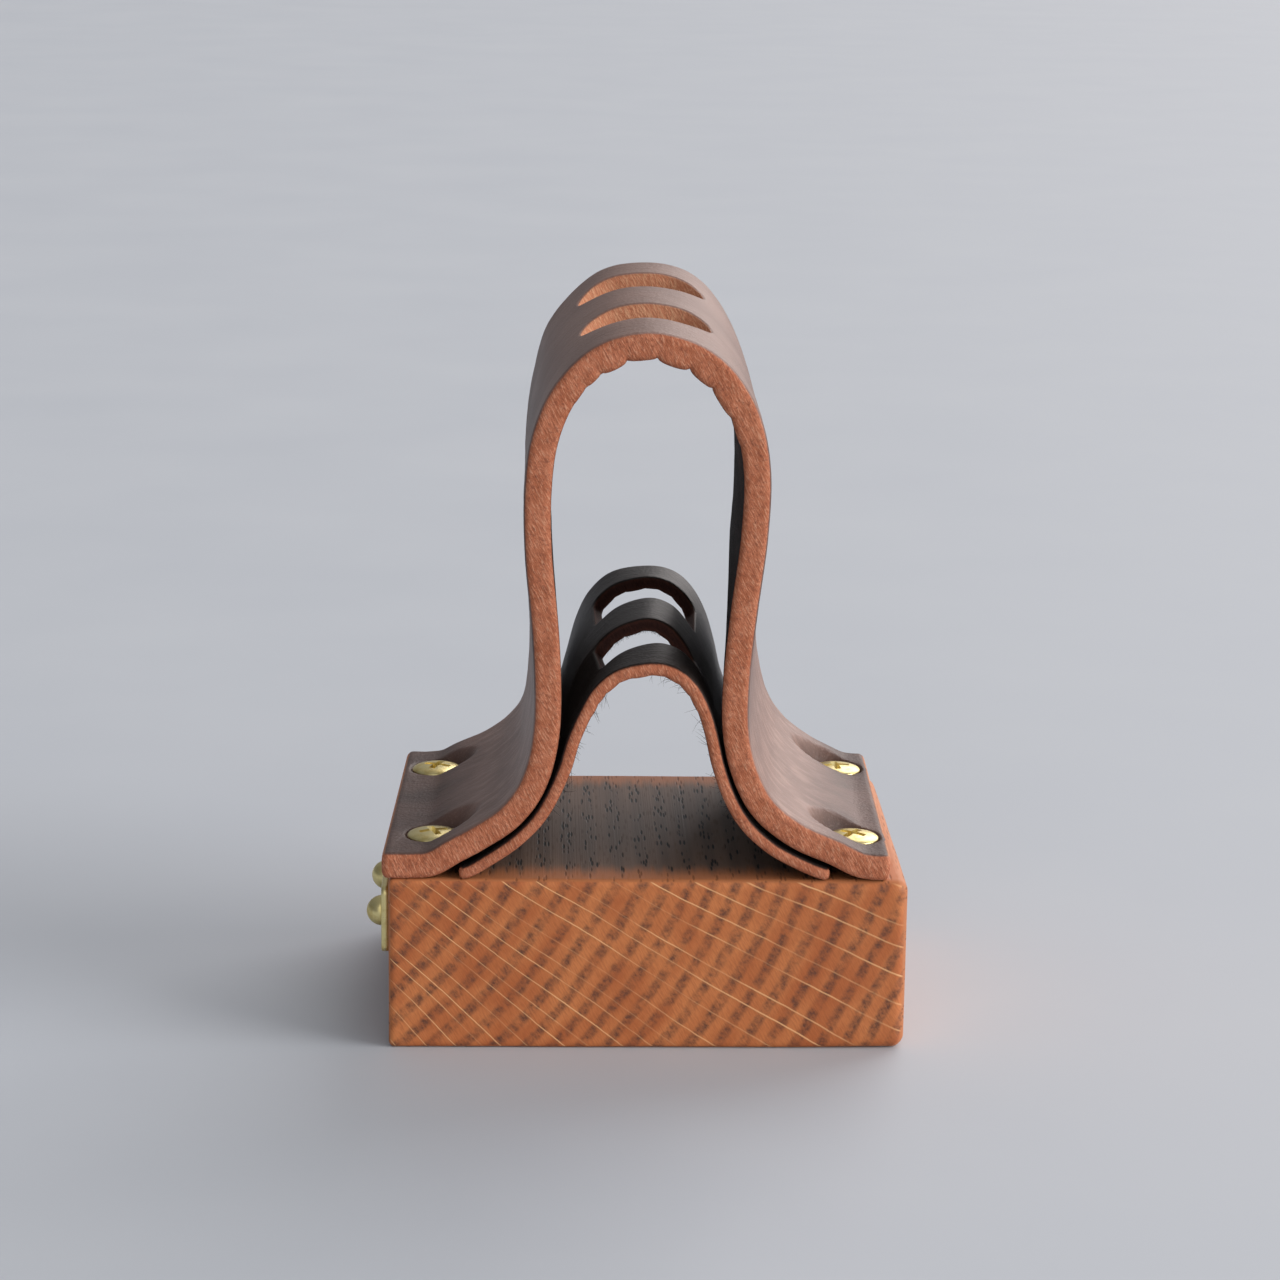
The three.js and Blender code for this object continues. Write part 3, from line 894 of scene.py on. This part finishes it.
def inner_arch():
    mesh = punched_strip(inner, "inner_arch_leather", INNER_SLOTS, rim=0.6, slot_rim=0.3)
    strip = points_of(mesh)
    along, across, height = strip.T.copy()
    half = INNER_THICKNESS / 2
    under = smoothstep((0.1 - height) / (half + 0.1))
    creases = [inner.length * share for share in INNER_CREASES]
    height -= under * lumps(along, across, creases, INNER_LUMPS)
    edge = smoothstep(np.abs(across) - HALF_DEPTH + 1)
    across += 0.04 * edge * ripple(along * 1.7, 12)
    points = inner.bend(np.stack([along, across, height], axis=1))
    fibres, skin, roots = loose_fibres(inner, FIBRES, 5)
    faces = [tuple(p.vertices) for p in mesh.polygons]
    faces += [tuple(i + len(points) for i in face) for face in skin]
    joined = bpy.data.meshes.new(mesh.name)
    points = np.concatenate([points, fibres])
    points[:, 0] += sway(points)
    joined.from_pydata(points.tolist(), [], faces)
    store_strip(joined, np.concatenate([strip, roots]))
    joined.name = "inner_arch_leather"
    return make_piece(joined, "inner_arch", thin_leather)


inner_arch()

# %% [markdown]
# ## Brass
#
# The screws, the plate and its pins are brass, polished once and now a little dull. Brass is a
# metal, so its colour tints the reflections. Fine rub marks and a slightly darker bloom in
# places keep it from looking like plastic.

# %% Brass finish
def brass_finish(name):
    brass = Finish(name)
    spot = brass.place()
    _, y, z = brass.split(spot)
    bloom = brass.noise(spot, 0.9, 3.0).step(0.42, 0.7)
    fine = brass.noise(spot, 9.0, 3.0, 0.6)
    rub = brass.scratches(y, z, 0, 0.4, 12.0)
    base = brass.mix(bloom * 0.7, colour(236, 220, 158), colour(208, 186, 118))
    base = brass.mix(fine.step(0.6, 0.8) * 0.15, base, colour(140, 112, 62))
    rough = 0.24 + bloom * 0.16 + rub * 0.12
    return brass.surface(base, rough, brass.bump(fine * 0.4 + rub * 0.6, 0.012), Metallic=1.0)


turned_brass = brass_finish("turned_brass")
plate_brass = brass_finish("brushed_plate_brass")
print(f"brass finishes: {turned_brass.name}, {plate_brass.name}")

# %% [markdown]
# ## The screws
#
# A wood screw with a raised countersunk head is turned on a lathe: a low dome, a cone under it, a
# shank with a thread. The cross recess is pressed in afterwards, so it is cut out with a cross
# whose arms narrow towards the bottom.

# %% Screws
DOME = 0.65                # height of the head's dome


def screw_profile():
    """Radius and height of the screw from its tip to the top of its dome; the rim is at 0."""
    profile = [(0.05, -12.0), (0.6, -11.0)]
    for k in range(6, 0, -1):
        top = -3.0 - 1.3 * (k - 1)
        profile += [(1.1, top - 1.3), (1.5, top - 0.7), (1.1, top - 0.45)]
    profile += [(1.3, -2.8), (1.3, -1.8), (HEAD - 0.12, -0.06)]
    profile += [(HEAD - 0.02, 0.0), (HEAD - 0.02, 0.05)]
    for k in range(1, 12):
        turn = math.pi / 2 * k / 12
        profile.append(((HEAD - 0.05) * math.cos(turn), 0.07 + DOME * math.sin(turn)))
    return profile + [(0.05, 0.07 + DOME)]


def cross_arm(angle):
    """One of the two crossing blades of the driver's bit, narrower towards its tip."""
    c, s = math.cos(angle), math.sin(angle)
    rings = []
    for z, long, wide in ((-0.8, 0.6, 0.18), (0.1, 1.5, 0.34), (1.3, 2.0, 0.46)):
        corners = [(-long, -wide), (long, -wide), (long, wide), (-long, wide)]
        rings.append([(x * c - y * s, x * s + y * c, z) for x, y in corners])
    return make_mesh("bit", *loft(rings))


def crisp_edges(piece, angle):
    """Keeps edges sharper than the angle from being smoothed over."""
    crisp = piece.modifiers.new("crisp", "EDGE_SPLIT")
    crisp.split_angle = math.radians(angle)


def wood_screw(place, turn):
    blank = turn_on_lathe(f"brass_screw_{place}", screw_profile(), 72)
    mesh = cut(blank, cross_arm(turn), cross_arm(turn + math.pi / 2))
    move_points(mesh, points_of(mesh) + (*SCREWS[place], RIM))
    crisp_edges(make_piece(mesh, f"screw_{place}", turned_brass), 35)


for place, turn in zip(SCREWS, (20, 55, 68, 8)):
    wood_screw(place, math.radians(turn))

# %% [markdown]
# ## The plate and its pins
#
# A thin plate is cut from sheet, so its face is flat and its edge is square with only a trace of
# rounding. Two round-head pins hold it to the block's left face. The plate carries no lettering.

# %% Plate and pins
PLATE_LENGTH, PLATE_HEIGHT, PLATE_THICKNESS = 22.0, 8.0, 1.0
PLATE_Y, PLATE_Z = -7.0, 14.0
PINS = {"front": -14.0, "back": 0.0}           # y of each pin
PIN_RADIUS, PIN_HEIGHT = 1.8, 1.88             # of its round head


def label_plate():
    corner, edge = 1.0, 0.12                   # radii of its corners and of its face's edge
    rings = []
    levels = [(0, edge), (edge, 0), (PLATE_THICKNESS - edge, 0), (PLATE_THICKNESS, edge)]
    for depth, back in levels:
        ring = []
        for k in range(64):
            turn = 2 * math.pi * (k + 0.5) / 64
            y = math.copysign(PLATE_LENGTH / 2 - corner, math.cos(turn))
            z = math.copysign(PLATE_HEIGHT / 2 - corner, math.sin(turn))
            reach = corner - back
            ring.append((-BLOCK[0] / 2 - depth, PLATE_Y + y + reach * math.cos(turn),
                         PLATE_Z + z + reach * math.sin(turn)))
        rings.append(ring)
    plate = make_piece(make_mesh("brass_plate", *loft(rings)), "label_plate", plate_brass)
    crisp_edges(plate, 50)


def round_head_pin(row):
    profile = [(0.05, -3.8), (0.8, -3.0), (0.8, 0.0), (1.7, 0.0), (1.78, 0.08)]
    for k in range(1, 14):
        turn = math.pi / 2 * k / 14
        profile.append((PIN_RADIUS * math.cos(turn), PIN_HEIGHT * math.sin(turn)))
    mesh = turn_on_lathe(f"brass_pin_{row}", [*profile, (0.05, PIN_HEIGHT)], 48)
    x, y, z = points_of(mesh).T
    seat = -BLOCK[0] / 2 - PLATE_THICKNESS
    move_points(mesh, np.stack([seat - z, y + PINS[row], x + PLATE_Z], axis=1))
    make_piece(mesh, f"plate_pin_{row}", turned_brass)


label_plate()
for row in PINS:
    round_head_pin(row)

# %% [markdown]
# ## Floor
#
# The stand is on a pale, even floor, large enough that its edge never shows. It rides on no
# body, because it isn't part of the stand.

# %% Floor
FLOOR_REACH = 6            # metres from the stand to the floor's edges


def pale_floor():
    finish = Finish("pale_floor")
    mottle = finish.noise(finish.place(), 0.02, 3.0)
    base = finish.mix(mottle, colour(190, 197, 206), colour(200, 206, 213))
    floor_finish = finish.surface(base, 0.6 + mottle * 0.1, finish.bump(mottle, 0.05))
    signs = [(-1, -1), (1, -1), (1, 1), (-1, 1)]
    corners = [(a * FLOOR_REACH, b * FLOOR_REACH, 0) for a, b in signs]
    mesh = make_mesh("floor", corners, [(0, 1, 2, 3)])
    mesh.materials.append(floor_finish)
    floor = bpy.data.objects.new("floor", mesh)
    bpy.context.scene.collection.objects.link(floor)
    print(f"floor: {2 * FLOOR_REACH} m square")


pale_floor()

# %% [markdown]
# ## Light
#
# A large soft light on the right is the window. A second one behind the stand on the right gives
# the leather its sheen, and a weak one in front keeps the near faces readable. The air is brighter
# on the right as well, so that the rounded edges turn slowly from light to dark.

# %% Light
def soft_light(name, place, spread, power, tint):
    """A far light that fills a disc of the sky, so that the floor is lit evenly."""
    lamp = bpy.data.lights.new(name, "SUN")
    lamp.angle = math.radians(spread)
    lamp.energy = power
    lamp.color = tint
    holder = bpy.data.objects.new(name, lamp)
    holder.rotation_mode = "QUATERNION"
    holder.rotation_quaternion = (-Vector(place)).to_track_quat("-Z", "Y")
    bpy.context.scene.collection.objects.link(holder)
    print(f"{name}: {spread} degrees wide, strength {power}")


soft_light("window", (1.0, -0.32, 0.42), 40, 2.1, (1.0, 0.95, 0.92))
soft_light("window_behind", (0.55, 0.85, 0.6), 50, 1.5, (1.0, 0.94, 0.92))
soft_light("room", (0.1, -1.0, 0.5), 70, 0.55, (1.0, 0.98, 0.96))


def room_air(left, right, strength):
    """A world whose colour goes evenly from one on the left to another on the right."""
    world = bpy.data.worlds.new("room_light")
    world.use_nodes = True
    air = world.node_tree
    way = air.nodes.new("ShaderNodeSeparateXYZ")
    air.links.new(air.nodes.new("ShaderNodeTexCoord").outputs["Generated"], way.inputs[0])
    half_way = air.nodes.new("ShaderNodeMath")
    half_way.operation = "MULTIPLY_ADD"
    half_way.inputs[1].default_value = half_way.inputs[2].default_value = 0.5
    air.links.new(way.outputs["X"], half_way.inputs[0])
    side = air.nodes.new("ShaderNodeValToRGB")
    for stop, position, tint in zip(side.color_ramp.elements, (0.0, 1.0), (left, right)):
        stop.position = position
        stop.color = tint
    air.links.new(half_way.outputs[0], side.inputs[0])
    air.links.new(side.outputs[0], air.nodes["Background"].inputs["Color"])
    air.nodes["Background"].inputs["Strength"].default_value = strength
    bpy.context.scene.world = world
    print(f"{world.name}: strength {strength}")


room_air((0.28, 0.30, 0.34, 1), (0.95, 0.93, 0.93, 1), 0.5)
bpy.context.scene.view_settings.view_transform = "Standard"

# %% [markdown]
# ## Camera
#
# The camera has a long lens, so the stand's upright lines stay nearly parallel. It looks slightly
# down and is turned a little to the right, which shows the tops of both arches and their slots.

# %% Camera
PITCH, YAW, ROLL = 13.56, 1.75, 0.79           # degrees
CAMERA_PLACE = (-0.0134, -0.4137, 0.1433)      # metres
LENS = 100.07              # millimetres, for a sensor 36 mm wide


def camera_with_long_lens():
    pitch, yaw, roll = (math.radians(angle) for angle in (PITCH, YAW, ROLL))
    forward = math.cos(pitch)
    ahead = Vector((math.sin(yaw) * forward, math.cos(yaw) * forward, -math.sin(pitch)))
    level = Vector((math.cos(yaw), -math.sin(yaw), 0))
    above = level.cross(ahead)
    right = level * math.cos(roll) + above * math.sin(roll)
    up = above * math.cos(roll) - level * math.sin(roll)
    data = bpy.data.cameras.new("camera")
    data.sensor_width = 36
    data.lens = LENS
    data.clip_start = 0.01
    camera = bpy.data.objects.new("camera", data)
    turned = Matrix((right, up, -ahead)).transposed().to_4x4()
    camera.matrix_world = Matrix.Translation(CAMERA_PLACE) @ turned
    bpy.context.scene.collection.objects.link(camera)
    bpy.context.scene.camera = camera
    print(f"camera: {LENS} mm lens, {PITCH} degrees down")


camera_with_long_lens()
